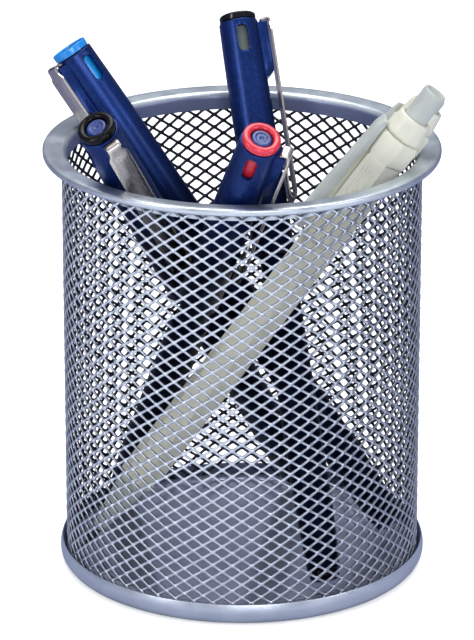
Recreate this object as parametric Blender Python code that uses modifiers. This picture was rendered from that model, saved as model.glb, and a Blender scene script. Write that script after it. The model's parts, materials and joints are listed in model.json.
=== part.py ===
"""Stocked mesh pen cup: a steel cup with four capped pens and two push-button pencils.

Metres, +Z up. The cup stands on Z = 0 with its axis on Z. Each pen and pencil is drawn along
its own +Z from its lower end, with its clip towards +X, and an empty carries its lean.
"""

import math

import bmesh
import bpy
from mathutils import Matrix, Vector

MM = 0.001

# Cup, millimetres
CUP_HEIGHT = 100.0
RIM_OUTER_R = 45.1
RIM_INNER_R = 39.6
BAND_OUTER_R = 39.95
BAND_FOOT_Z = 95.6
WALL_INNER_R = 40.1
WALL_OUTER_R = 40.6
WALL_FOOT_Z = 1.6
WALL_TOP_Z = 97.2
RING_OUTER_R = 42.3
RING_LIP_Z = 4.9
RING_INNER_R = 37.2
SHEET = 1.2
PLATE_R = 39.7
PLATE_TOP_Z = 2.9

# Capped pen; depths are measured down from its cap end
PEN_LENGTH = 134.7
RING_R = 4.25
RING_DEPTH = 1.6
RING_HOLE_R = 2.6
PLUG_R = 2.3
CAP_DEPTH = 1.9
CAP_TOP_R = 4.52
CAP_R = 4.85
CAP_SHOULDER = 22.0
CAP_END = 58.0
CAP_BORE_R = 3.65
WINDOW_TOP = 3.4
WINDOW_LENGTH = 6.5
WINDOW_WIDTH = 2.6
INSERT_R = 3.3
BOSS_TOP = 2.7
BOSS_LENGTH = 13.2
BOSS_CHAMFER = 1.5
BOSS_WIDTH = 3.6
BOSS_R = 6.5
CLIP_WIDTH = 5.0
CLIP_TAB_WIDTH = 3.4
CLIP_SHEET = 0.5
CLIP_R = 7.15
CLIP_END = 46.0
BARREL_R = 4.35
TAIL_R = 3.5
GRIP_R = 3.25
GRIP_TOP = 25.0
NIB_TOP = 15.0

# Push-button pencil; depths are measured down from its button when that is out
PENCIL_LENGTH = 138.4
BUTTON_R = 2.75
BUTTON_OUT = 7.4
BUTTON_TRAVEL = 4.5
COLLAR_TOP_R = 3.85
COLLAR_R = 4.6
COLLAR_END = 12.6
HEAD_R = 5.4
HEAD_END = 19.6
PENCIL_R = 4.5
CONE_TOP = 117.0
CONE_END = 131.5
PANEL_R = 4.67
PANEL_WIDTH = 5.2
PANEL_END = 44.0
PENCIL_CLIP_WIDTH = 4.4
PENCIL_CLIP_END = 43.0

CUP_SEGMENTS = 64
PEN_SEGMENTS = 24
SMALL_SEGMENTS = 20

# Each pen: name, ring colour, middle of its cap end, its lean and the way its clip faces
PENS = (
    (
        "cyan_pen",
        (0.02, 0.42, 0.85),
        (-39.81, 19.60, 116.85),
        (-0.5533, 0.1341, 0.8221),
        (-0.65, -0.69, -0.32),
    ),
    (
        "black_pen",
        (0.012, 0.012, 0.014),
        (-32.02, -31.35, 114.64),
        (-0.3366, -0.4792, 0.8106),
        (0.50, -0.85, -0.25),
    ),
    (
        "grey_pen",
        (0.10, 0.11, 0.12),
        (-1.20, 42.10, 117.75),
        (-0.1498, 0.5291, 0.8352),
        (0.97, 0.17, 0.06),
    ),
    (
        "red_pen",
        (0.80, 0.02, 0.03),
        (4.42, -44.45, 116.45),
        (0.2440, -0.5021, 0.8297),
        (0.93, -0.12, -0.35),
    ),
)

# Each pencil: name, whether its button is pressed in, middle of its button, lean, clip
PENCILS = (
    ("front_pencil", False, (42.80, -16.70, 117.70), (0.5773, -0.0477, 0.8152), (-0.81, -0.08, 0.57)),
    ("rear_pencil", True, (43.27, -5.00, 113.08), (0.5826, -0.0160, 0.8124), (-0.447, 0.829, 0.337)),
)

NAVY = (0.012, 0.028, 0.16)
CREAM = (0.80, 0.77, 0.66)


def clear_scene():
    for obj in list(bpy.data.objects):
        bpy.data.objects.remove(obj, do_unlink=True)


def make_material(name, color, metallic=0.0, roughness=0.4):
    mat = bpy.data.materials.new(name)
    mat.use_nodes = True
    shader = mat.node_tree.nodes["Principled BSDF"]
    shader.inputs["Base Color"].default_value = (*color, 1.0)
    shader.inputs["Metallic"].default_value = metallic
    shader.inputs["Roughness"].default_value = roughness
    return mat


def make_collection(name, shown=True):
    group = bpy.data.collections.new(name)
    bpy.context.scene.collection.children.link(group)
    group.hide_render = not shown
    return group


def finish(obj, look, group, parent=None):
    """Gives an object its own material, collection and parent."""
    color, metallic, roughness = look
    obj.data.materials.clear()
    obj.data.materials.append(make_material(obj.name, color, metallic, roughness))
    group.objects.link(obj)
    obj.parent = parent
    return obj


def object_from(name, bm):
    bmesh.ops.recalc_face_normals(bm, faces=bm.faces)
    mesh = bpy.data.meshes.new(name)
    bm.to_mesh(mesh)
    bm.free()
    return bpy.data.objects.new(name, mesh)


def lathe(name, profile, segments):
    """A solid of revolution about Z from (radius, height) points in millimetres.

    The profile runs down its outer side. One that starts and ends off the axis is a ring.
    """
    bm = bmesh.new()
    corners = [bm.verts.new((r * MM, 0.0, z * MM)) for r, z in profile]
    for first, second in zip(corners, corners[1:]):
        bm.edges.new((first, second))
    if profile[0][0] > 0.0:
        bm.edges.new((corners[-1], corners[0]))
    mesh = bpy.data.meshes.new(name)
    bm.to_mesh(mesh)
    bm.free()
    obj = bpy.data.objects.new(name, mesh)
    screw = obj.modifiers.new("Screw", "SCREW")
    screw.axis = "Z"
    screw.steps = segments
    screw.render_steps = segments
    screw.use_merge_vertices = True
    screw.merge_threshold = 0.00001
    screw.use_smooth_shade = True
    return obj


def bake(obj):
    """Replaces an object's modifiers by the mesh that they make."""
    bpy.context.scene.collection.objects.link(obj)
    bpy.context.view_layer.update()
    graph = bpy.context.evaluated_depsgraph_get()
    mesh = bpy.data.meshes.new_from_object(obj.evaluated_get(graph))
    obj.modifiers.clear()
    old = obj.data
    obj.data = mesh
    bpy.data.meshes.remove(old)
    bpy.context.scene.collection.objects.unlink(obj)
    bm = bmesh.new()
    bm.from_mesh(mesh)
    bmesh.ops.remove_doubles(bm, verts=bm.verts, dist=0.000005)
    bmesh.ops.recalc_face_normals(bm, faces=bm.faces)
    bm.to_mesh(mesh)
    bm.free()
    return obj


def boolean(obj, other, operation, cutters):
    """Joins or cuts with another mesh, which stays as a hidden helper."""
    other.hide_render = True
    other.display_type = "WIRE"
    cutters.objects.link(other)
    step = obj.modifiers.new(operation.title(), "BOOLEAN")
    step.operation = operation
    step.solver = "EXACT"
    step.object = other
    return obj


def prism(name, sides, radius, low, high, turn=0.0):
    """A regular prism about Z whose corners lie at this radius, in millimetres."""
    bm = bmesh.new()
    bmesh.ops.create_cone(
        bm,
        cap_ends=True,
        segments=sides,
        radius1=radius * MM,
        radius2=radius * MM,
        depth=(high - low) * MM,
        matrix=Matrix.Translation((0.0, 0.0, (low + high) / 2 * MM))
        @ Matrix.Rotation(turn, 4, "Z"),
    )
    return object_from(name, bm)


def extruded(name, outline, width):
    """A flat outline of (radius, height) points in the XZ plane, given this width along Y."""
    bm = bmesh.new()
    corners = [bm.verts.new((x * MM, -width / 2 * MM, z * MM)) for x, z in outline]
    face = bm.faces.new(corners)
    made = bmesh.ops.extrude_face_region(bm, geom=[face])
    moved = [item for item in made["geom"] if isinstance(item, bmesh.types.BMVert)]
    bmesh.ops.translate(bm, vec=(0.0, width * MM, 0.0), verts=moved)
    return object_from(name, bm)


def strip(name, path, sheet):
    """A bent strip: (radius, height, width) stations joined in a ribbon, then given its sheet."""
    bm = bmesh.new()
    rows = []
    for x, z, width in path:
        left = bm.verts.new((x * MM, -width / 2 * MM, z * MM))
        right = bm.verts.new((x * MM, width / 2 * MM, z * MM))
        rows.append((left, right))
    for (a, b), (c, d) in zip(rows, rows[1:]):
        bm.faces.new((a, b, d, c))
    mesh = bpy.data.meshes.new(name)
    bm.to_mesh(mesh)
    bm.free()
    obj = bpy.data.objects.new(name, mesh)
    solid = obj.modifiers.new("Sheet", "SOLIDIFY")
    solid.thickness = sheet * MM
    solid.offset = 0.0
    solid.use_even_offset = True
    return bake(obj)


def frame_of(tip, lean, clip, length):
    """The matrix of a pen's own frame: origin at its lower end, +Z up it, +X to its clip."""
    up = Vector(lean).normalized()
    side = Vector(clip)
    side = (side - up * side.dot(up)).normalized()
    across = up.cross(side)
    origin = Vector(tip) * MM - up * length * MM
    turn = Matrix((side, across, up)).transposed().to_4x4()
    return Matrix.Translation(origin) @ turn


def carrier(name, matrix, group):
    empty = bpy.data.objects.new(name, None)
    empty.empty_display_size = 0.01
    empty.matrix_world = matrix
    group.objects.link(empty)
    return empty


def build_cup(group):
    steel = ((0.62, 0.66, 0.74), 0.7, 0.34)
    rim = lathe(
        "cup_rim",
        (
            (41.2, CUP_HEIGHT - 0.45),
            (44.1, CUP_HEIGHT),
            (44.8, CUP_HEIGHT - 0.25),
            (RIM_OUTER_R, CUP_HEIGHT - 0.95),
            (44.8, CUP_HEIGHT - 1.65),
            (44.1, CUP_HEIGHT - 1.9),
            (43.4, CUP_HEIGHT - 1.45),
            (40.9, CUP_HEIGHT - 1.5),
            (BAND_OUTER_R, CUP_HEIGHT - 2.4),
            (BAND_OUTER_R, BAND_FOOT_Z),
            (RIM_INNER_R, BAND_FOOT_Z),
            (RIM_INNER_R, CUP_HEIGHT - 1.8),
            (40.1, CUP_HEIGHT - 0.9),
        ),
        CUP_SEGMENTS,
    )
    finish(rim, steel, group)
    wall = lathe(
        "cup_mesh_wall",
        (
            (WALL_OUTER_R, WALL_TOP_Z),
            (WALL_OUTER_R, WALL_FOOT_Z),
            (WALL_INNER_R, WALL_FOOT_Z),
            (WALL_INNER_R, WALL_TOP_Z),
        ),
        CUP_SEGMENTS,
    )
    finish(wall, steel, group)
    foot = lathe(
        "cup_base_ring",
        (
            (41.75, RING_LIP_Z),
            (42.1, RING_LIP_Z - 0.4),
            (RING_OUTER_R, RING_LIP_Z - 1.9),
            (42.2, 1.6),
            (41.7, 0.5),
            (40.9, 0.0),
            (RING_INNER_R, 0.0),
            (RING_INNER_R, SHEET),
            (40.8, SHEET),
            (41.15, 1.9),
            (41.3, RING_LIP_Z - 0.3),
        ),
        CUP_SEGMENTS,
    )
    finish(foot, steel, group)
    plate = lathe(
        "cup_base_plate",
        (
            (0.0, PLATE_TOP_Z),
            (PLATE_R - 0.4, PLATE_TOP_Z),
            (PLATE_R, PLATE_TOP_Z - 0.4),
            (PLATE_R, SHEET + 0.3),
            (RING_INNER_R - 0.3, SHEET + 0.3),
            (RING_INNER_R - 0.3, 0.0),
            (0.0, 0.0),
        ),
        CUP_SEGMENTS,
    )
    finish(plate, steel, group)


def build_pen(name, ring_color, tip, lean, clip_way, group, cutters):
    """One capped pen, drawn cap end up: the writing end is inside the cap."""
    pose = carrier(name + "_axis", frame_of(tip, lean, clip_way, PEN_LENGTH), group)
    top = PEN_LENGTH
    navy = (NAVY, 0.15, 0.36)
    bright = (ring_color, 0.0, 0.3)

    ring = lathe(
        name + "_ring",
        (
            (RING_HOLE_R, top - 0.55),
            (2.95, top - 0.12),
            (3.45, top),
            (3.9, top - 0.12),
            (RING_R - 0.07, top - 0.5),
            (RING_R, top - 0.9),
            (RING_R - 0.05, top - RING_DEPTH),
            (RING_HOLE_R, top - RING_DEPTH),
        ),
        PEN_SEGMENTS,
    )
    finish(ring, bright, group, pose)

    plug = lathe(
        name + "_end_plug",
        (
            (0.0, top - 1.05),
            (0.35, top - 0.95),
            (0.75, top - 0.85),
            (1.3, top - 0.9),
            (1.4, top - 0.7),
            (2.1, top - 0.7),
            (PLUG_R, top - 0.85),
            (PLUG_R, top - RING_DEPTH),
            (0.0, top - RING_DEPTH),
        ),
        SMALL_SEGMENTS,
    )
    finish(plug, (NAVY, 0.1, 0.4), group, pose)

    cap = lathe(
        name + "_cap",
        (
            (0.0, top - CAP_DEPTH),
            (CAP_TOP_R - 0.2, top - CAP_DEPTH),
            (CAP_TOP_R, top - CAP_DEPTH - 0.25),
            (4.7, top - 11.0),
            (CAP_R, top - CAP_SHOULDER),
            (CAP_R, top - CAP_END + 0.4),
            (CAP_R - 0.2, top - CAP_END),
            (CAP_BORE_R, top - CAP_END),
            (CAP_BORE_R, top - CAP_DEPTH - 1.1),
            (0.0, top - CAP_DEPTH - 1.1),
        ),
        PEN_SEGMENTS,
    )
    low = top - BOSS_TOP - BOSS_LENGTH
    boss = extruded(
        name + "_boss",
        (
            (4.0, top - BOSS_TOP),
            (BOSS_R, top - BOSS_TOP),
            (BOSS_R, low + BOSS_CHAMFER),
            (BOSS_R - BOSS_CHAMFER, low),
            (4.0, low),
        ),
        BOSS_WIDTH,
    )
    boss.parent = pose
    boolean(cap, boss, "UNION", cutters)
    reach = 7.0
    half = WINDOW_WIDTH / 2
    window = prism(name + "_window_cut", 20, half, -reach, reach)
    for vert in window.data.vertices:
        vert.co.x += math.copysign((WINDOW_LENGTH / 2 - half) * MM, vert.co.x)
    window.data.transform(Matrix.Rotation(math.pi / 2, 4, "X"))
    window.data.transform(Matrix.Rotation(math.pi / 2, 4, "Y"))
    window.data.transform(Matrix.Rotation(math.pi / 2, 4, "Z"))
    window.data.transform(
        Matrix.Translation((0.0, 0.0, (top - WINDOW_TOP - WINDOW_LENGTH / 2) * MM))
    )
    window.parent = pose
    boolean(cap, window, "DIFFERENCE", cutters)
    finish(cap, navy, group, pose)

    insert = lathe(
        name + "_window_insert",
        (
            (0.0, top - CAP_DEPTH - 1.4),
            (INSERT_R, top - CAP_DEPTH - 1.4),
            (INSERT_R, top - WINDOW_TOP - WINDOW_LENGTH - 1.0),
            (0.0, top - WINDOW_TOP - WINDOW_LENGTH - 1.0),
        ),
        SMALL_SEGMENTS,
    )
    finish(insert, bright, group, pose)

    clip = strip(
        name + "_clip",
        (
            (5.05, top - 2.05, CLIP_TAB_WIDTH),
            (6.2, top - 1.85, CLIP_TAB_WIDTH),
            (6.85, top - 2.0, CLIP_TAB_WIDTH),
            (CLIP_R, top - 2.6, CLIP_TAB_WIDTH),
            (CLIP_R + 0.05, top - 4.0, CLIP_TAB_WIDTH),
            (CLIP_R + 0.05, top - 5.0, CLIP_WIDTH),
            (CLIP_R, top - 20.0, CLIP_WIDTH),
            (CLIP_R - 0.1, top - CLIP_END + 1.4, CLIP_WIDTH),
            (6.8, top - CLIP_END + 0.4, CLIP_WIDTH),
            (6.35, top - CLIP_END, CLIP_WIDTH),
            (5.9, top - CLIP_END + 0.3, CLIP_WIDTH),
            (5.6, top - CLIP_END + 1.2, CLIP_WIDTH),
            (5.5, top - CLIP_END + 6.0, CLIP_WIDTH),
            (5.8, top - CLIP_END + 9.5, CLIP_WIDTH),
        ),
        CLIP_SHEET,
    )
    finish(clip, ((0.72, 0.68, 0.62), 1.0, 0.28), group, pose)

    barrel = lathe(
        name + "_barrel",
        (
            (0.0, top - 66.0),
            (GRIP_R + 0.3, top - 66.0),
            (GRIP_R + 0.3, top - CAP_END - 0.4),
            (BARREL_R - 0.15, top - CAP_END - 0.4),
            (BARREL_R, top - CAP_END - 0.8),
            (BARREL_R, 16.0),
            (TAIL_R + 0.25, 2.9),
            (TAIL_R, 2.5),
            (2.4, 2.5),
            (2.4, 5.8),
            (0.0, 5.8),
        ),
        PEN_SEGMENTS,
    )
    finish(barrel, navy, group, pose)

    grip = lathe(
        name + "_grip",
        (
            (0.0, top - GRIP_TOP),
            (2.5, top - GRIP_TOP),
            (3.0, top - GRIP_TOP - 1.0),
            (GRIP_R, top - GRIP_TOP - 5.0),
            (GRIP_R, top - 56.5),
            (GRIP_R - 0.1, top - 65.7),
            (0.0, top - 65.7),
        ),
        SMALL_SEGMENTS,
    )
    finish(grip, ((0.03, 0.03, 0.035), 0.0, 0.6), group, pose)

    nib = lathe(
        name + "_nib",
        (
            (0.0, top - NIB_TOP),
            (0.3, top - NIB_TOP - 0.1),
            (0.45, top - NIB_TOP - 2.6),
            (1.2, top - NIB_TOP - 3.2),
            (2.15, top - GRIP_TOP + 0.9),
            (2.15, top - GRIP_TOP + 0.3),
            (0.0, top - GRIP_TOP + 0.3),
        ),
        SMALL_SEGMENTS,
    )
    finish(nib, ((0.75, 0.76, 0.78), 1.0, 0.25), group, pose)

    tail = lathe(
        name + "_tail_plug",
        (
            (0.0, 5.5),
            (2.1, 5.5),
            (2.1, 2.2),
            (TAIL_R - 0.1, 2.2),
            (TAIL_R - 0.1, 0.9),
            (TAIL_R - 0.8, 0.0),
            (0.0, 0.0),
        ),
        SMALL_SEGMENTS,
    )
    finish(tail, bright, group, pose)


def build_pencil(name, pressed, tip, lean, clip_way, group, cutters):
    """One push-button pencil, drawn button up. A pressed one is shorter by the travel."""
    sunk = BUTTON_TRAVEL if pressed else 0.0
    matrix = frame_of(tip, lean, clip_way, PENCIL_LENGTH - sunk)
    pose = carrier(name + "_axis", matrix, group)
    top = PENCIL_LENGTH
    cream = (CREAM, 0.0, 0.38)
    grey = ((0.66, 0.68, 0.66), 0.0, 0.4)

    button = lathe(
        name + "_button",
        (
            (0.0, top - sunk - 0.7),
            (1.9, top - sunk - 0.6),
            (2.2, top - sunk),
            (2.55, top - sunk),
            (BUTTON_R, top - sunk - 0.25),
            (BUTTON_R, top - sunk - 12.0),
            (0.0, top - sunk - 12.0),
        ),
        PEN_SEGMENTS,
    )
    finish(button, grey, group, pose)

    collar = lathe(
        name + "_collar",
        (
            (BUTTON_R + 0.3, top - BUTTON_OUT),
            (COLLAR_TOP_R - 0.25, top - BUTTON_OUT),
            (COLLAR_TOP_R, top - BUTTON_OUT - 0.3),
            (COLLAR_R, top - COLLAR_END + 0.4),
            (COLLAR_R - 0.2, top - COLLAR_END),
            (BUTTON_R + 0.3, top - COLLAR_END),
        ),
        PEN_SEGMENTS,
    )
    finish(collar, cream, group, pose)

    head = prism(name + "_head", 6, HEAD_R, top - HEAD_END, top - COLLAR_END - 0.3)
    soften(head, 0.45, 2)
    bore = prism(
        name + "_head_bore", 24, BUTTON_R + 0.35, top - HEAD_END + 1.2, top - COLLAR_END + 2.0
    )
    bore.parent = pose
    boolean(head, bore, "DIFFERENCE", cutters)
    finish(head, cream, group, pose)

    clip = extruded(
        name + "_clip",
        (
            (5.05, top - 12.4),
            (6.2, top - 12.4),
            (6.4, top - 13.1),
            (7.7, top - 33.0),
            (8.1, top - PENCIL_CLIP_END + 1.5),
            (7.5, top - PENCIL_CLIP_END),
            (6.0, top - PENCIL_CLIP_END),
            (5.8, top - PENCIL_CLIP_END + 1.0),
            (5.4, top - 19.5),
            (5.05, top - 18.9),
        ),
        PENCIL_CLIP_WIDTH,
    )
    finish(clip, grey, group, pose)

    barrel = prism(name + "_barrel", 6, PENCIL_R, PENCIL_LENGTH - CONE_TOP, top - HEAD_END - 0.3)
    soften(barrel, 0.35, 2)
    for side in (1, -1):
        panel = extruded(
            f"{name}_panel_{side}",
            (
                (2.0, top - HEAD_END - 0.3),
                (PANEL_R, top - HEAD_END - 0.3),
                (PANEL_R, top - PANEL_END + 1.0),
                (PANEL_R - 1.0, top - PANEL_END),
                (2.0, top - PANEL_END),
            ),
            PANEL_WIDTH,
        )
        panel.data.transform(Matrix.Rotation(side * math.pi / 3, 4, "Z"))
        panel.parent = pose
        boolean(barrel, panel, "UNION", cutters)
    finish(barrel, cream, group, pose)

    cone = lathe(
        name + "_cone",
        (
            (0.0, top - CONE_TOP - 0.3),
            (3.4, top - CONE_TOP - 0.3),
            (3.55, top - CONE_TOP - 0.6),
            (2.6, top - CONE_TOP - 8.0),
            (1.4, top - CONE_END),
            (0.0, top - CONE_END),
        ),
        SMALL_SEGMENTS,
    )
    finish(cone, grey, group, pose)

    point = lathe(
        name + "_point",
        (
            (0.0, top - CONE_END - 0.3),
            (1.15, top - CONE_END - 0.3),
            (0.95, top - CONE_END - 3.6),
            (0.5, top - CONE_END - 4.0),
            (0.45, 0.3),
            (0.3, 0.0),
            (0.0, 0.0),
        ),
        SMALL_SEGMENTS,
    )
    finish(point, ((0.75, 0.76, 0.78), 1.0, 0.25), group, pose)


def soften(obj, width, segments):
    """Rounds every edge of a prism, then keeps the result as its mesh."""
    step = obj.modifiers.new("Bevel", "BEVEL")
    step.width = width * MM
    step.segments = segments
    step.limit_method = "ANGLE"
    step.angle_limit = math.radians(40.0)
    return bake(obj)


def main():
    clear_scene()
    group = make_collection("stocked_mesh_pen_cup")
    cutters = make_collection("cutters", shown=False)
    build_cup(group)
    for name, color, tip, lean, clip_way in PENS:
        build_pen(name, color, tip, lean, clip_way, group, cutters)
    for name, pressed, tip, lean, clip_way in PENCILS:
        build_pencil(name, pressed, tip, lean, clip_way, group, cutters)
    bpy.context.view_layer.update()


main()
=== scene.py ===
"""Looks of the stocked mesh pen cup: an expanded-metal cup, four capped pens, two pencils.

Every piece stands for one CAD node and rides on that node's body. Pens and pencils are drawn
in millimetres in their own frame: origin at the upper end, +Z up the pen, +X to the clip.
Their frames come from the joints, and their overall sizes from the CAD nodes.
"""

import json
import math

import bmesh
import bpy
import numpy as np
from mathutils import Matrix, Vector

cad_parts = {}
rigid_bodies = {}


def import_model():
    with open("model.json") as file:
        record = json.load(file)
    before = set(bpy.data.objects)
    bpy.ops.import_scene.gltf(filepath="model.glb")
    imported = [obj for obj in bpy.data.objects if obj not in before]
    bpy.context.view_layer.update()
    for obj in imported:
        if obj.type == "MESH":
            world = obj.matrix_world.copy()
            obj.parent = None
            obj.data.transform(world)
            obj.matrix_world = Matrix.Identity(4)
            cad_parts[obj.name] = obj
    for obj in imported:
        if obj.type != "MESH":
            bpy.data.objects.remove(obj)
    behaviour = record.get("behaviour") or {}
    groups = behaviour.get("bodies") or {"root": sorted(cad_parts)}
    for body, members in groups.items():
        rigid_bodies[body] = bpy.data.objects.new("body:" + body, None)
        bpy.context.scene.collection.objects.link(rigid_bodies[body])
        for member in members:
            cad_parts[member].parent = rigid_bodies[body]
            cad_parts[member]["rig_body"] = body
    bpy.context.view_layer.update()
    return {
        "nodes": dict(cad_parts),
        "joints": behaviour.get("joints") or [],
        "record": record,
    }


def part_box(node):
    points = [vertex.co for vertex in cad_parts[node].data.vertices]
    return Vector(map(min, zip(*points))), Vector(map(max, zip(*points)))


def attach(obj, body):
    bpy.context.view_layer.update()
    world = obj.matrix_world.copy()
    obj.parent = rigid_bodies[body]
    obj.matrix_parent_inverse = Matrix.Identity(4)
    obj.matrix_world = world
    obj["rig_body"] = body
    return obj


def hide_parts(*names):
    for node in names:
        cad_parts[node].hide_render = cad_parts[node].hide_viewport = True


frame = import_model()

MM = 0.001
NODES = frame["nodes"]
JOINTS = {joint["name"]: joint for joint in frame["joints"]}
SLOTS = {part["node"]: part["material_slot"] for part in frame["record"]["subparts"]}
PENS = ("cyan_pen", "black_pen", "grey_pen", "red_pen")
PENCILS = ("front_pencil", "rear_pencil")

# Expanded metal
CELLS_AROUND = 58
CELL_ROWS = 31
STRAND_WIDTH = 0.52
STRAND_SHEET = 0.56
STRAND_EDGE = 0.09
STRAND_LEAN = 0.16
OPENING_ROUND = 0.1

# How wide the rounded edge of a pen's ring is; the cyan pen's is narrower
RING_WALL = 1.65
RING_WALLS = {"cyan_pen": 0.6}

# Pens and pencils darken between these heights in metres, where the cup shades them
SHADE_HEIGHTS = (0.080, 0.102)
SHADE_TONE = (0.001, 0.0015, 0.004)

# Pens: the wall of the cap, its clip boss and the window through it, in millimetres
CAP_RADIUS = 4.85
CAP_BORE = 3.65
CAP_END = 1.1
BOSS_REACH = 6.5
BOSS_LENGTH = 13.2
BOSS_WIDTH = 3.6
WINDOW_WIDTH = 2.6
WINDOW_LENGTH = 6.5

# Pencils: the barrel, its two raised grip panels and their grooves, in millimetres
BARREL_RADIUS = 4.5
PANEL_RADIUS = 4.67
PANEL_LENGTH = 24.1
PANEL_HALF_WIDTH = 2.62
GROOVE_PITCH = 0.72
GROOVE_DEPTH = 0.22
GROOVE_HALF_WIDTH = 1.9

# Segments round the rim and the base ring of the cup
CUP_SEGMENTS = 256

# Camera and stage, in metres; the lens and its sensor are in millimetres
CAMERA_PLACE = (0.0, -0.9265, 0.4071)
CAMERA_AIM = (-0.00115, 0.00428, 0.05595)
CAMERA_LENS = 242.9
CAMERA_SENSOR = 36.0
FLOOR_HALF = 3
FLOOR_DROP = 0.0003


# ---------------------------------------------------------------- meshes


def new_object(name, verts, faces):
    """A mesh object of these faces, with its face normals made consistent."""
    mesh = bpy.data.meshes.new(name)
    mesh.from_pydata([tuple(v) for v in verts], [], [tuple(f) for f in faces])
    bm = bmesh.new()
    bm.from_mesh(mesh)
    bmesh.ops.recalc_face_normals(bm, faces=bm.faces)
    bm.to_mesh(mesh)
    bm.free()
    obj = bpy.data.objects.new(name, mesh)
    bpy.context.scene.collection.objects.link(obj)
    return obj


def baked(obj):
    """Turns an object's modifiers into its mesh."""
    graph = bpy.context.evaluated_depsgraph_get()
    mesh = bpy.data.meshes.new_from_object(obj.evaluated_get(graph))
    obj.modifiers.clear()
    obj.data = mesh
    return obj


def smooth(obj, angle=35.0):
    """Smooth shading, broken at edges sharper than this angle in degrees."""
    mesh = obj.data
    mesh.polygons.foreach_set("use_smooth", [True] * len(mesh.polygons))
    mesh.set_sharp_from_angle(angle=math.radians(angle))
    return obj


def bevelled(obj, width, segments=2, angle=35.0):
    """Rounds the edges sharper than this angle; the width is in millimetres."""
    step = obj.modifiers.new("Bevel", "BEVEL")
    step.width = width * MM
    step.segments = segments
    step.limit_method = "ANGLE"
    step.angle_limit = math.radians(angle)
    step.harden_normals = True
    obj.data.polygons.foreach_set("use_smooth", [True] * len(obj.data.polygons))
    return baked(obj)


def combined(obj, other, operation):
    """Joins or cuts obj with a helper solid, which is then removed."""
    step = obj.modifiers.new("Boolean", "BOOLEAN")
    step.operation = operation
    step.solver = "EXACT"
    step.object = other
    baked(obj)
    bpy.data.objects.remove(other)
    return obj


def rounded(corners, closed=False, steps=5):
    """Softens each (x, y, fillet) corner of an outline; the fillet is the length cut off."""
    points = []
    last = len(corners) - 1
    for place, (x, y, fillet) in enumerate(corners):
        corner = Vector((x, y))
        if fillet == 0 or (not closed and place in (0, last)):
            points.append(corner)
            continue
        before = Vector(corners[place - 1][:2]) - corner
        after = Vector(corners[(place + 1) % len(corners)][:2]) - corner
        cut = min(fillet, 0.48 * before.length, 0.48 * after.length)
        start = corner + before.normalized() * cut
        end = corner + after.normalized() * cut
        for step in range(steps + 1):
            t = step / steps
            points.append(start * (1 - t) ** 2 + corner * 2 * t * (1 - t) + end * t * t)
    return points


def turned(name, profile, segments=96, section=None):
    """A closed solid round Z through (radius, height) points in millimetres.

    The profile runs down the outside. One that starts off the axis closes on itself as a
    ring. section(angles, radius, height) gives each ring another radius at each angle.
    """
    angles = np.arange(segments) * (2 * math.pi / segments)
    verts = []
    rings = []
    for radius, height in profile:
        if radius < 0.0001:
            rings.append([len(verts)] * segments)
            verts.append((0.0, 0.0, height * MM))
            continue
        rings.append(list(range(len(verts), len(verts) + segments)))
        reach = section(angles, radius, height) if section else np.full(segments, radius)
        for angle, r in zip(angles, reach):
            verts.append((r * math.cos(angle) * MM, r * math.sin(angle) * MM, height * MM))
    pairs = list(zip(rings, rings[1:]))
    if profile[0][0] > 0.0001:
        pairs.append((rings[-1], rings[0]))
    faces = []
    for upper, lower in pairs:
        for i in range(segments):
            j = (i + 1) % segments
            corners = (upper[i], lower[i], lower[j], upper[j])
            faces.append(tuple(dict.fromkeys(corners)))
    return new_object(name, verts, faces)


def ribbon(name, path, width_at, sheet, crown_at, across=6):
    """A bent strip along (radius, height) points, with its width and crown given along it."""
    verts = []
    faces = []
    for place, point in enumerate(path):
        half = width_at(place) / 2
        for step in range(across + 1):
            t = 2 * step / across - 1
            radius = point.x + crown_at(place) * (1 - abs(t))
            verts.append((radius * MM, t * half * MM, point.y * MM))
    row = across + 1
    for place in range(len(path) - 1):
        for step in range(across):
            first = place * row + step
            faces.append((first, first + 1, first + 1 + row, first + row))
    obj = new_object(name, verts, faces)
    solid = obj.modifiers.new("Sheet", "SOLIDIFY")
    solid.thickness = sheet * MM
    solid.offset = 0.0
    solid.use_even_offset = True
    return baked(obj)


def spaced(path, step):
    """The same path with points no further apart than this step."""
    points = [path[0]]
    for start, end in zip(path, path[1:]):
        count = max(1, math.ceil((end - start).length / step))
        for i in range(1, count + 1):
            points.append(start.lerp(end, i / count))
    return points


def extruded(name, outline, width):
    """A flat (radius, height) outline given this width along Y."""
    count = len(outline)
    verts = []
    for side in (-0.5, 0.5):
        verts += [(p[0] * MM, side * width * MM, p[1] * MM) for p in outline]
    faces = [tuple(range(count)), tuple(range(count, 2 * count))]
    for i in range(count):
        j = (i + 1) % count
        faces.append((i, j, j + count, i + count))
    return new_object(name, verts, faces)


# ---------------------------------------------------------------- materials


def add_node(tree, kind, inputs=None, **settings):
    """A shader node whose inputs are each linked to a socket or set to a value."""
    made = tree.nodes.new(kind)
    for key, value in settings.items():
        setattr(made, key, value)
    for key, value in (inputs or {}).items():
        if isinstance(value, bpy.types.NodeSocket):
            tree.links.new(value, made.inputs[key])
        else:
            made.inputs[key].default_value = value
    return made


def stretched(tree, scale):
    """Object coordinates times a scale for each axis."""
    place = add_node(tree, "ShaderNodeTexCoord")
    mapped = add_node(
        tree, "ShaderNodeMapping", {"Vector": place.outputs["Object"], "Scale": scale}
    )
    return mapped.outputs["Vector"]


def noise(tree, vector, scale, detail=3.0, roughness=0.5):
    """Smooth noise from 0 to 1, mostly near its middle."""
    made = add_node(
        tree,
        "ShaderNodeTexNoise",
        {"Vector": vector, "Scale": scale, "Detail": detail, "Roughness": roughness},
    )
    return made.outputs["Fac"]


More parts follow.
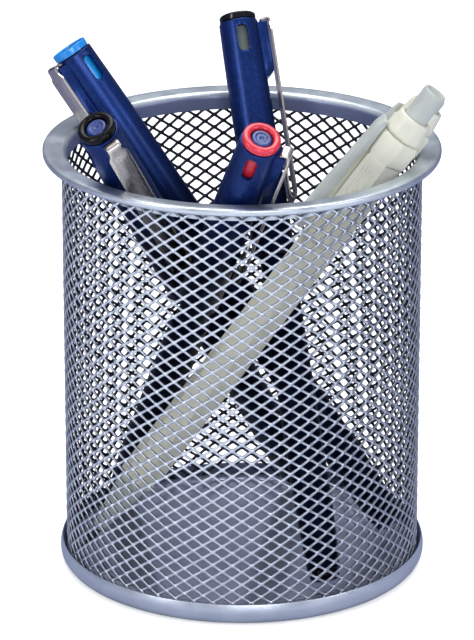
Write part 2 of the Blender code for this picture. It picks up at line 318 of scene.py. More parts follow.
def ranged(tree, value, low, high, start=0.35, end=0.65):
    """Maps start..end to low..high, held outside them; the default start and end suit noise."""
    made = add_node(
        tree,
        "ShaderNodeMapRange",
        {"Value": value, "From Min": start, "From Max": end, "To Min": low, "To Max": high},
    )
    return made.outputs["Result"]


def blended(tree, share, first, second):
    """A colour between first and second, by this share."""
    made = add_node(tree, "ShaderNodeMix", data_type="RGBA")
    tree.links.new(share, made.inputs[0])
    for socket, value in ((made.inputs[6], first), (made.inputs[7], second)):
        if isinstance(value, bpy.types.NodeSocket):
            tree.links.new(value, socket)
        else:
            socket.default_value = (*value, 1.0)
    return made.outputs[2]


def shaded(tree, shader, tone, depth, coat=0.0, shine=0.5):
    """Colours a shader, dimmed by this share where it stands in the cup's own shade."""
    spot = add_node(tree, "ShaderNodeNewGeometry").outputs["Position"]
    height = add_node(tree, "ShaderNodeSeparateXYZ", {"Vector": spot}).outputs["Z"]
    share = ranged(tree, height, 1.0, 0.0, *SHADE_HEIGHTS)
    tone = blended(tree, ranged(tree, share, 0.0, depth, 0.0, 1.0), tone, SHADE_TONE)
    tree.links.new(tone, shader.inputs["Base Color"])
    tree.links.new(ranged(tree, share, coat, 0.0, 0.0, 1.0), shader.inputs["Coat Weight"])
    tree.links.new(
        ranged(tree, share, shine, 0.1, 0.0, 1.0), shader.inputs["Specular IOR Level"]
    )


def bumped(tree, shader, height, strength, distance):
    """Adds fine relief to a shader; the distance is in millimetres."""
    bump = add_node(
        tree,
        "ShaderNodeBump",
        {"Height": height, "Strength": strength, "Distance": distance * MM},
    )
    tree.links.new(bump.outputs["Normal"], shader.inputs["Normal"])


def new_material(name, metallic=0.0, coat=0.0, coat_roughness=0.1):
    """A material, its node tree and its main shader."""
    mat = bpy.data.materials.new(name)
    mat.use_nodes = True
    shader = mat.node_tree.nodes["Principled BSDF"]
    shader.inputs["Metallic"].default_value = metallic
    shader.inputs["Coat Weight"].default_value = coat
    shader.inputs["Coat Roughness"].default_value = coat_roughness
    shader.inputs["IOR"].default_value = 1.5
    return mat, mat.node_tree, shader


def facing_out(tree):
    """How far a surface of the cup faces away from the cup's axis, from -1 to 1."""
    place = add_node(tree, "ShaderNodeTexCoord")
    flat = add_node(
        tree, "ShaderNodeVectorMath", {0: place.outputs["Object"]}, operation="MULTIPLY"
    )
    flat.inputs[1].default_value = (1.0, 1.0, 0.0)
    out = add_node(
        tree, "ShaderNodeVectorMath", {0: flat.outputs["Vector"]}, operation="NORMALIZE"
    )
    both = {0: out.outputs["Vector"], 1: place.outputs["Normal"]}
    return add_node(tree, "ShaderNodeVectorMath", both, operation="DOT_PRODUCT").outputs["Value"]


def silver_paint(name, dark, light, inside=None, roughness=0.34, turn=(0.1, 0.8), metallic=0.85):
    """Satin metallic paint: soft mottling, fine grain and a slightly uneven gloss.

    inside is a painted shade: a dark, less metallic tone on the faces towards the cup's axis.
    """
    mat, tree, shader = new_material(name, metallic=metallic, coat=0.15, coat_roughness=0.25)
    place = stretched(tree, (1.0, 1.0, 1.0))
    cloud = noise(tree, place, 160.0)
    grain = noise(tree, place, 5200.0, detail=2.0)
    tone = blended(tree, ranged(tree, cloud, 0.0, 1.0), dark, light)
    fleck = tuple(min(1.0, 1.25 * c) for c in light)
    tone = blended(tree, ranged(tree, grain, 0.0, 0.5, 0.55, 0.75), tone, fleck)
    # Painted shade: faces towards the cup's axis darken to the inside tone, with less metal and
    # coat.
    if inside:
        share = ranged(tree, facing_out(tree), 1.0, 0.0, *turn)
        tone = blended(tree, share, tone, inside)
        tree.links.new(
            ranged(tree, share, metallic, 0.15, 0.0, 1.0), shader.inputs["Metallic"]
        )
        tree.links.new(ranged(tree, share, 0.15, 0.0, 0.0, 1.0), shader.inputs["Coat Weight"])
    tree.links.new(tone, shader.inputs["Base Color"])
    tree.links.new(
        ranged(tree, cloud, roughness - 0.05, roughness + 0.06), shader.inputs["Roughness"]
    )
    bumped(tree, shader, grain, 0.12, 0.05)
    return mat


def navy_plastic():
    """Deep navy with a fine metal flake under a soft clear surface."""
    mat, tree, shader = new_material("navy_flake", metallic=0.72, coat_roughness=0.2)
    place = stretched(tree, (1.0, 1.0, 1.0))
    flake = add_node(
        tree, "ShaderNodeTexVoronoi", {"Vector": place, "Scale": 4200.0}
    ).outputs["Color"]
    split = add_node(tree, "ShaderNodeSeparateColor", {"Color": flake}).outputs["Red"]
    cloud = noise(tree, place, 120.0)
    base = blended(
        tree, ranged(tree, cloud, 0.0, 1.0), (0.002, 0.020, 0.128), (0.003, 0.027, 0.165)
    )
    tone = blended(tree, ranged(tree, split, 0.0, 0.4, 0.72, 1.0), base, (0.02, 0.09, 0.46))
    shaded(tree, shader, tone, 0.92, 0.12)
    tree.links.new(ranged(tree, split, 0.30, 0.42, 0.0, 1.0), shader.inputs["Roughness"])
    bumped(tree, shader, noise(tree, place, 3000.0, detail=2.0), 0.10, 0.04)
    return mat


def gloss_plastic(name, color, light, roughness=0.24, coat=0.5, shine=0.5):
    """Moulded gloss plastic, a little lighter in patches, with faint handling marks."""
    mat, tree, shader = new_material(name, coat_roughness=0.12)
    place = stretched(tree, (1.0, 1.0, 1.0))
    cloud = noise(tree, place, 140.0)
    scuff = noise(tree, stretched(tree, (1.0, 1.0, 0.2)), 2500.0, detail=4.0)
    tone = blended(tree, ranged(tree, cloud, 0.0, 1.0), color, light)
    shaded(tree, shader, tone, 0.95, coat, shine)
    tree.links.new(
        ranged(tree, scuff, roughness - 0.05, roughness + 0.12), shader.inputs["Roughness"]
    )
    bumped(tree, shader, scuff, 0.06, 0.03)
    return mat


def brushed_metal(name, dark, light, roughness=0.26):
    """Bright nickel brushed along the length of its piece."""
    mat, tree, shader = new_material(name, metallic=1.0)
    brush = noise(tree, stretched(tree, (1.0, 1.0, 0.03)), 9000.0, detail=4.0)
    cloud = noise(tree, stretched(tree, (1.0, 1.0, 1.0)), 260.0)
    tone = blended(tree, ranged(tree, brush, 0.0, 1.0), dark, light)
    tone = blended(
        tree, ranged(tree, cloud, 0.0, 0.2), tone, tuple(0.85 * c for c in light)
    )
    shaded(tree, shader, tone, 0.85)
    tree.links.new(
        ranged(tree, brush, roughness - 0.06, roughness + 0.08), shader.inputs["Roughness"]
    )
    bumped(tree, shader, brush, 0.08, 0.02)
    return mat


def satin_plastic(name, color, light, roughness=0.38, glow=0.0):
    """Pale moulded plastic: faint cloudiness, a fine mould texture, light under its surface and a
    painted glow in its shade.
    """
    mat, tree, shader = new_material(name, coat=0.1, coat_roughness=0.3)
    shader.inputs["Subsurface Weight"].default_value = 0.12
    shader.inputs["Subsurface Radius"].default_value = (1.0, 0.8, 0.6)
    shader.inputs["Subsurface Scale"].default_value = 0.6 * MM
    # Painted light: a faint emission in the lighter tone lifts the shaded sides of the plastic.
    shader.inputs["Emission Color"].default_value = (*light, 1.0)
    shader.inputs["Emission Strength"].default_value = glow
    place = stretched(tree, (1.0, 1.0, 0.35))
    cloud = noise(tree, place, 240.0)
    grain = noise(tree, place, 4200.0, detail=3.0)
    tone = blended(tree, ranged(tree, cloud, 0.0, 1.0), color, light)
    tree.links.new(tone, shader.inputs["Base Color"])
    tree.links.new(
        ranged(tree, grain, roughness - 0.04, roughness + 0.08), shader.inputs["Roughness"]
    )
    bumped(tree, shader, grain, 0.08, 0.04)
    return mat


MATERIALS = {
    # The fourth colour of the mesh, rim and foot paints is painted shade on faces towards the axis.
    "silver_mesh": silver_paint(
        "silver_mesh", (0.60, 0.65, 0.75), (0.70, 0.75, 0.84), (0.012, 0.016, 0.03), metallic=0.9
    ),
    "silver_rim": silver_paint(
        "silver_rim", (0.58, 0.64, 0.70), (0.66, 0.72, 0.78), (0.16, 0.19, 0.34), turn=(-0.95, -0.7)
    ),
    "silver_foot": silver_paint(
        "silver_foot", (0.66, 0.72, 0.82), (0.74, 0.80, 0.90), (0.11, 0.13, 0.24), 0.32
    ),
    "silver_sheet": silver_paint(
        "silver_sheet", (0.66, 0.71, 0.98), (0.72, 0.77, 1.0), None, 0.12, metallic=0.66
    ),
    "navy_plastic": navy_plastic(),
    "navy_plug": gloss_plastic("navy_plug", (0.012, 0.03, 0.16), (0.02, 0.05, 0.24), 0.32),
    "cyan_plastic": gloss_plastic("cyan_gloss", (0.0, 0.26, 0.80), (0.01, 0.36, 0.92)),
    "black_plastic": gloss_plastic(
        "black_gloss", (0.001, 0.001, 0.002), (0.003, 0.003, 0.004), 0.2, 0.03, shine=0.22
    ),
    "grey_plastic": gloss_plastic(
        "grey_gloss", (0.002, 0.003, 0.004), (0.004, 0.005, 0.007), 0.16, 0.1, shine=0.3
    ),
    "grey_insert": gloss_plastic("grey_insert", (0.11, 0.13, 0.12), (0.17, 0.20, 0.18), 0.45),
    "red_plastic": gloss_plastic("red_gloss", (0.66, 0.015, 0.035), (0.80, 0.03, 0.06)),
    "clip_steel": brushed_metal("clip_nickel", (0.60, 0.54, 0.50), (0.70, 0.64, 0.60)),
    "bright_steel": brushed_metal("nib_steel", (0.62, 0.62, 0.64), (0.80, 0.80, 0.82), 0.2),
    "grip_plastic": satin_plastic("grip_black", (0.012, 0.012, 0.014), (0.02, 0.02, 0.022), 0.5),
    # glow is painted light: a faint emission that lifts the shaded sides of the pale plastics.
    "cream_plastic": satin_plastic(
        "cream_plastic", (0.70, 0.70, 0.58), (0.78, 0.78, 0.66), glow=0.06
    ),
    "pale_grey_plastic": satin_plastic(
        "pale_grey", (0.46, 0.49, 0.46), (0.55, 0.58, 0.55), glow=0.06
    ),
}


# ---------------------------------------------------------------- pieces and frames


def show(obj, node, material=None):
    """obj is shown for a CAD node: it rides on the node's body and takes its slot."""
    obj.name = node + "_piece"
    obj.data.name = obj.name
    obj.data.materials.clear()
    obj.data.materials.append(MATERIALS[material or SLOTS[node]])
    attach(obj, NODES[node]["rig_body"])
    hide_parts(node)
    return obj


def points_of(node):
    """The corners of a CAD node, in metres."""
    return np.array([v.co for v in NODES[node].data.vertices])


def pen_frame(name, end_node, above=0.0):
    """A pen's own frame, its origin this many millimetres above the end node's top."""
    up = Vector(JOINTS[name + "_lift"]["axis"]).normalized()
    across = -Vector(JOINTS[name + "_clip_flex"]["axis"]).normalized()
    side = across.cross(up)
    turn = Matrix((side, across, up)).transposed()
    local = points_of(end_node) @ np.array(turn)
    low, high = local.min(0), local.max(0)
    centre = Vector(((low[0] + high[0]) / 2, (low[1] + high[1]) / 2, high[2] + above * MM))
    return Matrix.Translation(turn @ centre) @ turn.to_4x4()


def extent(node, pose):
    """A node's largest radius, top and bottom in a pen's frame, in millimetres."""
    matrix = np.array(pose.inverted())
    local = (points_of(node) @ matrix[:3, :3].T + matrix[:3, 3]) / MM
    radius = np.hypot(local[:, 0], local[:, 1]).max()
    return float(radius), float(local[:, 2].max()), float(local[:, 2].min())


# ---------------------------------------------------------------- cup


def mesh_wall():
    """Expanded metal: diamond openings in staggered rows, each strand leaning like a shingle."""
    low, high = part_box("cup_mesh_wall")
    middle = high.x / MM - 0.1
    half_row = (high.z - low.z) / MM / CELL_ROWS / 2
    half_cell = math.pi * middle / CELLS_AROUND
    slope = math.hypot(half_cell, half_row)
    shrink = 1 - STRAND_WIDTH / 2 * slope / (half_cell * half_row)
    wide = half_cell * shrink
    tall = half_row * shrink
    # Eight corners round each opening, two at each of its points: right, top, left, bottom
    ends = ((1, 0), (0, 1), (-1, 0), (0, -1))
    corners = []
    for place, (x, z) in enumerate(ends):
        for near in (ends[place - 1], ends[(place + 1) % 4]):
            across = wide * (x * (1 - OPENING_ROUND) + near[0] * OPENING_ROUND)
            height = tall * (z * (1 - OPENING_ROUND) + near[1] * OPENING_ROUND)
            corners.append((across, height))
    right_low, right_high, top_right, top_left = range(4)
    left_high, left_low, bottom_left, bottom_right = range(4, 8)
    verts = []
    first = {}
    for row in range(2 * CELL_ROWS + 1):
        for column in range(row % 2, 2 * CELLS_AROUND, 2):
            first[column, row] = len(verts)
            for across, rise in corners:
                angle = (column * half_cell + across) / middle
                radius = (middle + STRAND_LEAN * rise / tall) * MM
                height = min(max(low.z + (row * half_row + rise) * MM, low.z), high.z)
                verts.append((radius * math.sin(angle), -radius * math.cos(angle), height))
    faces = []
    for (column, row), cell in first.items():
        east = first.get(((column + 1) % (2 * CELLS_AROUND), row + 1))
        west = first.get(((column - 1) % (2 * CELLS_AROUND), row + 1))
        above = first.get((column, row + 2))
        if east is None:
            continue
        faces.append((cell + right_high, east + bottom_left, east + left_low, cell + top_right))
        faces.append((cell + top_left, west + right_low, west + bottom_right, cell + left_high))
        if above is None:
            continue
        bond = (
            cell + top_right,
            east + left_low,
            east + left_high,
            above + bottom_right,
            above + bottom_left,
            west + right_high,
            west + right_low,
            cell + top_left,
        )
        faces.append(bond)
    obj = new_object("wall", verts, faces)
    solid = obj.modifiers.new("Sheet", "SOLIDIFY")
    solid.thickness = STRAND_SHEET * MM
    solid.offset = 0.0
    bevelled(obj, STRAND_EDGE, 1, 45.0)
    smooth(obj, 60.0)
    show(obj, "cup_mesh_wall", "silver_mesh")


def rim():
    """The rolled flange: a band inside the mesh, turned out flat and curled at its edge."""
    low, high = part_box("cup_rim")
    top = high.z / MM
    outer = high.x / MM
    foot = low.z / MM
    profile = rounded(
        (
            (outer - 4.5, top - 0.32, 0.5),
            (outer - 1.2, top, 1.0),
            (outer, top - 0.2, 0.9),
            (outer, top - 1.7, 0.7),
            (outer - 1.4, top - 1.9, 0.4),
            (outer - 1.8, top - 1.35, 0.3),
            (outer - 4.2, top - 1.5, 0.7),
            (outer - 5.15, top - 2.4, 0.6),
            (outer - 5.15, foot, 0.1),
            (outer - 5.5, foot, 0.1),
            (outer - 5.5, top - 1.3, 0.7),
        ),
        closed=True,
        steps=6,
    )
    obj = turned("rim", profile, CUP_SEGMENTS)
    smooth(obj, 50.0)
    show(obj, "cup_rim", "silver_rim")


def base_ring():
    """The channel that the mesh stands in: a convex outside and a lip round the top."""
    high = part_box("cup_base_ring")[1]
    top = high.z / MM
    outer = high.x / MM
    inner = outer - 5.1
    profile = rounded(
        (
            (outer - 0.75, top - 0.1, 0.25),
            (outer - 0.45, top, 0.3),
            (outer, top - 1.6, 1.2),
            (outer - 0.1, 1.4, 1.2),
            (outer - 1.2, 0.0, 0.8),
            (inner, 0.0, 0.1),
            (inner, 1.2, 0.1),
            (outer - 1.5, 1.2, 0.5),
            (outer - 1.0, top - 1.0, 0.5),
        ),
        closed=True,
        steps=6,
    )
    obj = turned("foot", profile, CUP_SEGMENTS)
    smooth(obj, 50.0)
    show(obj, "cup_base_ring", "silver_foot")


def base_plate():
    """The floor of the cup, with the shallow step that presses it into its ring."""
    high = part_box("cup_base_plate")[1]
    top = high.z / MM
    outer = high.x / MM
    profile = rounded(
        (
            (0.0, top - 0.25, 0.0),
            (outer - 3.4, top - 0.25, 0.4),
            (outer - 2.8, top, 0.3),
            (outer, top, 0.4),
            (outer, 1.5, 0.2),
            (outer - 2.8, 1.5, 0.2),
            (outer - 2.8, 0.0, 0.3),
            (0.0, 0.0, 0.0),
        )
    )
    obj = turned("plate", profile, 192)
    smooth(obj, 50.0)
    show(obj, "cup_base_plate", "silver_sheet")


# ---------------------------------------------------------------- pens


def pen_ring(name, pose):
    """The ring at the upper end, its edge rounded over a half circle."""
    outer, top, bottom = extent(name + "_ring", pose)
    hole = outer - RING_WALLS.get(name, RING_WALL)
    middle = (outer + hole) / 2
    bead = (outer - hole) / 2
    rise = bead * 2 / 3
    arc = []
    for step in range(17):
        angle = math.pi * step / 16
        arc.append((middle - bead * math.cos(angle), top - rise + rise * math.sin(angle)))
    return turned("ring", arc + [(outer - 0.05, bottom), (hole, bottom)], 96)


def pen_plug(name, pose):
    """The plug inside the ring, with a dimple and low rings round its centre."""
    outer, top, bottom = extent(name + "_end_plug", pose)
    outer += RING_WALL - RING_WALLS.get(name, RING_WALL)
    top += 0.3
    profile = rounded(
        (
            (0.0, top - 0.4, 0.0),
            (0.3, top - 0.38, 0.15),
            (0.55, top - 0.12, 0.15),
            (1.25, top - 0.2, 0.1),
            (1.4, top, 0.1),
            (2.0, top, 0.15),
            (outer, top - 0.3, 0.15),
            (outer, bottom, 0.0),
            (0.0, bottom, 0.0),
        ),
        steps=3,
    )
    return turned("plug", profile, 64)


def pen_cap(name, pose):
    """The cap with its clip boss joined on and its window cut through both walls."""
    _, top, bottom = extent(name + "_cap", pose)
    profile = rounded(
        (
            (0.0, top, 0.0),
            (4.52, top, 0.3),
            (4.7, top - 9.0, 2.0),
            (CAP_RADIUS, top - 20.0, 4.0),
            (CAP_RADIUS, bottom, 0.3),
            (CAP_BORE, bottom, 0.2),
            (CAP_BORE, top - CAP_END, 0.2),
            (0.0, top - CAP_END, 0.0),
        )
    )
    obj = turned("cap", profile, 96)
    boss_top = top - 0.8
    boss_low = boss_top - BOSS_LENGTH
    outline = (
        (4.0, boss_top),
        (BOSS_REACH, boss_top),
        (BOSS_REACH, boss_low + 1.5),
        (5.0, boss_low),
        (4.0, boss_low),
    )
    combined(obj, extruded("boss", outline, BOSS_WIDTH), "UNION")
    half = WINDOW_WIDTH / 2
    half_length = WINDOW_LENGTH / 2
    middle = top - 1.5 - half_length
    slot = []
    for step in range(24):
        angle = 2 * math.pi * step / 24
        shift = math.copysign(half_length - half, math.sin(angle + 0.001))
        slot.append((half * math.cos(angle), middle + shift + half * math.sin(angle)))
    combined(obj, extruded("window", slot, 16.0), "DIFFERENCE")
    return bevelled(obj, 0.16, 2, 40.0)


def pen_insert(name, pose):
    """The core that shows through the window of the cap."""
    outer, top, bottom = extent(name + "_window_insert", pose)
    profile = rounded(
        ((0.0, top, 0.0), (outer, top, 0.3), (outer, bottom, 0.3), (0.0, bottom, 0.0))
    )
    return turned("insert", profile, 64)


def pen_clip(name, pose):
    """Bent from sheet: a narrow tab, shoulders, a creased blade and a folded-back end."""
    path = rounded(
        (
            (5.05, -2.1, 0.0),
            (6.2, -1.65, 0.5),
            (7.15, -1.9, 0.7),
            (7.2, -5.0, 0.8),
            (7.15, -20.0, 1.0),
            (7.1, -44.4, 0.8),
            (6.3, -46.2, 1.2),
            (5.45, -44.6, 0.8),
            (5.5, -40.0, 1.0),
            (6.1, -35.5, 0.0),
        )
    )
    path = spaced(path, 0.7)
    turn = max(range(len(path)), key=lambda i: -path[i].y)

    def width_at(place):
        share = min(1.0, max(0.0, (-path[place].y - 3.4) / 1.2))
        return 4.9 if place > turn else 3.4 + 1.6 * share

    def crown_at(place):
        if place > turn:
            return 0.0
        depth = -path[place].y
        rising = min(1.0, max(0.0, (depth - 4.4) / 2.0))
        fading = min(1.0, max(0.0, (45 - depth) / 3))
        return 0.28 * rising * fading

    obj = ribbon("clip", path, width_at, 0.42, crown_at)
    return bevelled(obj, 0.08, 2, 50.0)


def pen_barrel(name, pose):
    """The barrel, stepped in at its top where the cap slides over it."""
    outer, top, bottom = extent(name + "_barrel", pose)
    profile = rounded(
        (
            (0.0, top, 0.0),
            (3.55, top, 0.2),
            (3.55, top - 7.6, 0.2),
            (outer, top - 7.6, 0.3),
            (outer, bottom + 13.5, 4.0),
            (3.75, bottom + 0.4, 0.2),
            (3.5, bottom, 0.2),
            (2.4, bottom, 0.1),
            (2.4, bottom + 3.3, 0.1),
            (0.0, bottom + 3.3, 0.0),
        )
    )
    return turned("barrel", profile, 96)


def pen_grip(name, pose):
    """The grip, with shallow rings near its end."""
    outer, top, bottom = extent(name + "_grip", pose)
    corners = [(0.0, top, 0.0), (2.5, top, 0.2), (3.0, top - 1.0, 0.3), (outer, top - 5.0, 0.8)]
    for ring in range(6):
        height = top - 7.0 - 1.6 * ring
        corners += [
            (outer, height, 0.1),
            (outer - 0.18, height - 0.3, 0.1),
            (outer, height - 0.6, 0.1),
        ]
    corners += [(outer, bottom + 9.2, 0.4), (outer - 0.1, bottom, 0.2), (0.0, bottom, 0.0)]
    return turned("grip", rounded(corners, steps=3), 64)


def pen_nib(name, pose):
    """The metal cone and its fine point, which stand upwards inside the cap."""
    _, top, bottom = extent(name + "_nib", pose)
    profile = rounded(
        (
            (0.0, top, 0.0),
            (0.35, top - 0.05, 0.15),
            (0.45, top - 2.6, 0.4),
            (1.2, top - 3.2, 0.3),
            (2.15, bottom + 0.6, 0.3),
            (2.15, bottom, 0.1),
            (0.0, bottom, 0.0),
        ),
        steps=4,
    )
    return turned("nib", profile, 48)


def pen_tail(name, pose):
    """The plug that closes the barrel's lower end."""
    outer, top, bottom = extent(name + "_tail_plug", pose)
    profile = rounded(
        (
            (0.0, top, 0.0),
            (2.1, top, 0.2),
            (2.1, bottom + 2.2, 0.1),
            (outer, bottom + 2.2, 0.15),
            (outer, bottom + 0.7, 0.5),
            (outer - 0.8, bottom, 0.5),
            (0.0, bottom, 0.0),
        )
    )
    return turned("tail", profile, 64)


def pens():
    """Every piece of the four pens; None takes the material of the CAD node's slot."""
    makers = (
        ("ring", pen_ring, None),
        ("end_plug", pen_plug, "navy_plug"),
        ("cap", pen_cap, None),
        ("window_insert", pen_insert, None),
        ("clip", pen_clip, None),
        ("barrel", pen_barrel, None),
        ("grip", pen_grip, None),
        ("nib", pen_nib, None),
        ("tail_plug", pen_tail, None),
    )
    for name in PENS:
        pose = pen_frame(name, name + "_ring")
        for part, make, material in makers:
            obj = make(name, pose)
            obj.matrix_world = pose
            smooth(obj, 38.0)
            if part == "window_insert" and name == "grey_pen":
                material = "grey_insert"
            show(obj, f"{name}_{part}", material)


# ---------------------------------------------------------------- pencils


def hexagon(angles, radius):
    """Distance to a hexagon with this corner radius, its corners rounded a little."""
    turn = (angles + math.pi / 6) % (math.pi / 3) - math.pi / 6
    flat = radius * math.cos(math.pi / 6)
    return np.minimum(flat / np.cos(turn), radius * 0.975)


def off_panels(angles):
    """Each angle measured from the nearer of the two grip panels, 60 degrees off the clip."""
    folded = np.abs((angles + math.pi) % (2 * math.pi) - math.pi)
    return folded - math.pi / 3


def pencil_button(name, pose):
    """The push button, with a recess in its top."""
    outer, top, bottom = extent(name + "_button", pose)
    profile = rounded(
        (
            (0.0, top - 1.6, 0.0),
            (1.75, top - 1.5, 0.3),
            (2.0, top, 0.15),
            (outer - 0.1, top, 0.2),
            (outer, top - 0.5, 0.2),
            (outer, bottom, 0.2),
            (0.0, bottom, 0.0),
        )
    )
    return turned("button", profile, 72)


def pencil_collar(name, pose):
    """A ring that flares from the button down to the head."""
    outer, top, bottom = extent(name + "_collar", pose)
    inner = 3.05
    profile = rounded(
        (
            (inner, top, 0.05),
            (outer - 0.8, top, 0.2),
            (outer - 0.6, top - 0.6, 0.3),
            (outer, bottom + 0.6, 0.4),
            (outer - 0.2, bottom, 0.2),
            (inner, bottom, 0.05),
        ),
        closed=True,
    )
    return turned("collar", profile, 72)


def pencil_head(name, pose):
    """A hexagonal head, bored for the button; its foot is chamfered beside the grip panels."""
    outer, top, bottom = extent(name + "_head", pose)
    bore = 3.1
    profile = (
        (bore, top),
        (outer - 0.75, top),
        (outer - 0.2, top - 0.3),
        (outer, top - 0.7),
        (outer, bottom + 1.0),
        (outer - 0.25, bottom + 0.5),
        (outer - 0.8, bottom),
        (bore, bottom),
    )

    def section(angles, radius, height):
        if radius <= bore:
            return np.full(len(angles), radius)
        reach = hexagon(angles, radius)
        if height < bottom + 0.9:
            panel = np.abs(off_panels(angles)) < math.radians(28.9)
            reach = np.where(panel, hexagon(angles, outer), reach)
        return reach

    return turned("head", profile, 144, section)


def pencil_barrel(name, pose):
    """A hexagonal barrel; two raised grip panels run down from the head, with fine grooves."""
    _, top, bottom = extent(name + "_barrel", pose)
    outer = BARREL_RADIUS
    panel_low = top - PANEL_LENGTH
    top += 0.3
    groove_top = top - 2.6
    groove_low = panel_low + 2.0
    profile = (
        (0.0, top),
        (outer, top),
        (outer, groove_top),
        (outer, groove_top - 0.6),
        (outer, groove_low + 0.6),
        (outer, groove_low),
        (outer, panel_low + 1.0),
        (outer, panel_low),
        (outer, panel_low - 0.02),
        (outer, bottom + 0.8),
        (outer - 0.6, bottom),
        (0.0, bottom),
    )

    def section(angles, radius, height):
        reach = hexagon(angles, radius)
        turn = off_panels(angles)
        if height > panel_low - 0.01:
            sunk = 1.0 if height < panel_low + 0.5 else 0.0
            flat = PANEL_RADIUS - sunk
            across = flat * np.tan(np.clip(turn, -1.2, 1.2))
            plank = np.where(np.abs(across) < PANEL_HALF_WIDTH, flat / np.cos(turn), 0.0)
            reach = np.maximum(reach, plank)
            if groove_low < height - 0.01 and height + 0.01 < groove_top:
                dips = np.clip(np.cos(across * 2 * math.pi / GROOVE_PITCH) + 0.25, 0, 1)
                reach = reach - GROOVE_DEPTH * dips * (np.abs(across) < GROOVE_HALF_WIDTH)
        return reach

    return turned("barrel", profile, 432, section)


def pencil_clip(name, pose):
    """A straight moulded bar that stands on a root beside the head."""
    outline = rounded(
        (
            (5.0, -11.3, 0.1),
            (5.7, -11.2, 0.3),
            (6.5, -13.4, 0.8),
            (7.7, -33.0, 3.0),
            (8.1, -41.5, 0.8),
            (7.5, -43.0, 0.8),
            (6.1, -43.0, 0.5),
            (5.8, -42.0, 0.4),
            (5.4, -19.5, 0.8),
            (5.05, -18.8, 0.4),
        ),
        closed=True,
        steps=4,
    )
    obj = extruded("clip", outline, 4.4)
    return bevelled(obj, 0.3, 3, 60.0)


def pencil_cone(name, pose):
    """The tapered piece below the barrel."""
    outer, top, bottom = extent(name + "_cone", pose)
    profile = rounded(
        (
            (0.0, top, 0.0),
            (outer - 0.1, top, 0.2),
            (outer, top - 0.4, 0.2),
            (2.6, top - 7.7, 2.0),
            (1.4, bottom, 0.1),
            (0.0, bottom, 0.0),
        )
    )
    return turned("cone", profile, 72)


def pencil_point(name, pose):
    """The slim metal sleeve at the lower end."""
    outer, top, bottom = extent(name + "_point", pose)
    profile = rounded(
        (
            (0.0, top, 0.0),
            (outer, top, 0.1),
            (0.95, top - 3.3, 0.2),
            (0.5, top - 3.7, 0.1),
            (0.45, bottom + 0.3, 0.1),
            (0.3, bottom, 0.1),
            (0.0, bottom, 0.0),
        )
    )
    return turned("point", profile, 48)


def pencils():
    """Every piece of the two pencils."""
    makers = (
        ("button", pencil_button),
        ("collar", pencil_collar),
        ("head", pencil_head),
        ("clip", pencil_clip),
        ("barrel", pencil_barrel),
        ("cone", pencil_cone),
        ("point", pencil_point),
    )
    for name in PENCILS:
        pose = pen_frame(name, name + "_collar", 7.4)
        for part, make in makers:
            obj = make(name, pose)
            obj.matrix_world = pose
            smooth(obj, 32.0)
            show(obj, f"{name}_{part}")


# ---------------------------------------------------------------- stage


def floor():
    """Pale to the camera, glowing more far away; other rays see it pale in front, dark behind."""
    sides = ((-1, -1), (1, -1), (1, 1), (-1, 1))
    corners = [(x * FLOOR_HALF, y * FLOOR_HALF, -FLOOR_DROP) for x, y in sides]
    obj = new_object("floor", corners, [(0, 1, 2, 3)])
    mat, tree, shader = new_material("pale_floor")
    cloud = noise(tree, stretched(tree, (1.0, 1.0, 1.0)), 3.0)
    seen = add_node(tree, "ShaderNodeLightPath").outputs["Is Camera Ray"]
    pale = blended(tree, ranged(tree, cloud, 0.0, 1.0), (0.93, 0.93, 0.92), (0.95, 0.95, 0.94))
    spot = add_node(tree, "ShaderNodeNewGeometry").outputs["Position"]
    depth = add_node(tree, "ShaderNodeSeparateXYZ", {"Vector": spot}).outputs["Y"]
    near = ranged(tree, depth, 1.0, 0.0, -0.17, 0.03)
    card = blended(tree, near, (0.20, 0.22, 0.34), (0.84, 0.86, 0.92))
    tree.links.new(blended(tree, seen, card, pale), shader.inputs["Base Color"])
    away = add_node(tree, "ShaderNodeVectorMath", {0: spot}, operation="LENGTH")
    glow = ranged(tree, away.outputs["Value"], 0.45, 1.0, 0.5, 1.6)
    tree.links.new(ranged(tree, seen, 0.0, glow, 0.0, 1.0), shader.inputs["Emission Strength"])
    shader.inputs["Roughness"].default_value = 0.9
    shader.inputs["Specular IOR Level"].default_value = 0.0
    shader.inputs["Emission Color"].default_value = (1.0, 1.0, 0.99, 1.0)
    obj.data.materials.append(mat)


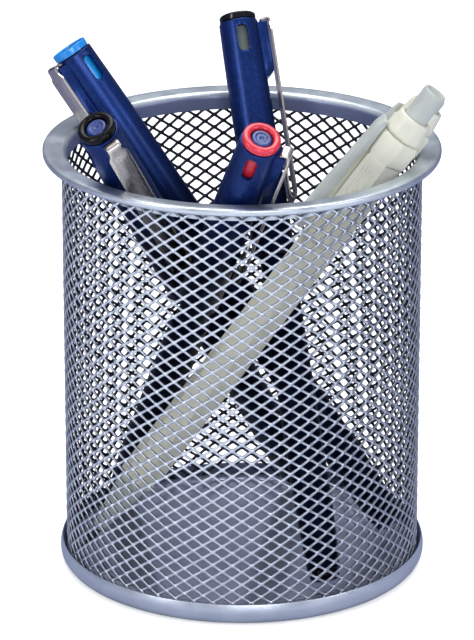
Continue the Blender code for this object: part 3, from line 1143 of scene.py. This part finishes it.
def world():
    """White to the camera; for other rays a soft sky that darkens to blue-grey below."""
    sky = bpy.data.worlds.new("studio")
    bpy.context.scene.world = sky
    sky.use_nodes = True
    tree = sky.node_tree
    tree.nodes.clear()
    place = add_node(tree, "ShaderNodeTexCoord")
    height = add_node(
        tree, "ShaderNodeSeparateXYZ", {"Vector": place.outputs["Generated"]}
    ).outputs["Z"]
    tone = blended(
        tree, ranged(tree, height, 0.0, 1.0, -0.1, 0.8), (0.06, 0.07, 0.14), (0.52, 0.54, 0.60)
    )
    soft = add_node(tree, "ShaderNodeBackground", {"Color": tone, "Strength": 0.8})
    white = add_node(
        tree, "ShaderNodeBackground", {"Color": (1.0, 1.0, 1.0, 1.0), "Strength": 1.0}
    )
    path = add_node(tree, "ShaderNodeLightPath")
    mix = add_node(
        tree,
        "ShaderNodeMixShader",
        {
            0: path.outputs["Is Camera Ray"],
            1: soft.outputs["Background"],
            2: white.outputs["Background"],
        },
    )
    out = add_node(tree, "ShaderNodeOutputWorld")
    tree.links.new(mix.outputs["Shader"], out.inputs["Surface"])


def light(name, place, energy, size, color=(1.0, 1.0, 1.0), target=(0.0, 0.0, 0.06)):
    """A rectangular lamp that faces its target; the size is in metres."""
    lamp = bpy.data.lights.new(name, "AREA")
    lamp.energy = energy
    lamp.color = color
    lamp.shape = "RECTANGLE"
    lamp.size, lamp.size_y = size
    obj = bpy.data.objects.new(name, lamp)
    obj.location = place
    way = Vector(target) - Vector(place)
    obj.rotation_mode = "QUATERNION"
    obj.rotation_quaternion = way.to_track_quat("-Z", "Y")
    bpy.context.scene.collection.objects.link(obj)


def camera():
    """A long lens in front of the cup, looking down by about 21 degrees."""
    data = bpy.data.cameras.new("camera")
    data.lens = CAMERA_LENS
    data.sensor_width = CAMERA_SENSOR
    obj = bpy.data.objects.new("camera", data)
    obj.location = CAMERA_PLACE
    way = Vector(CAMERA_AIM) - obj.location
    obj.rotation_mode = "QUATERNION"
    obj.rotation_quaternion = way.to_track_quat("-Z", "Y")
    bpy.context.scene.collection.objects.link(obj)
    bpy.context.scene.camera = obj


def stage():
    """The floor, the sky, four lamps and the camera."""
    floor()
    world()
    light("key", (-0.85, -0.70, 0.60), 3.6, (0.14, 0.80))
    light("front", (0.25, -1.60, 0.75), 9.0, (0.80, 0.60), (0.98, 0.99, 1.0))
    light("fill", (0.90, -0.50, 0.45), 2.0, (0.30, 0.50), (0.95, 0.97, 1.0))
    light("top", (0.0, 0.30, 1.30), 13.0, (1.10, 0.90))
    camera()
    bpy.context.scene.view_settings.view_transform = "Standard"


mesh_wall()
rim()
base_ring()
base_plate()
pens()
pencils()
stage()
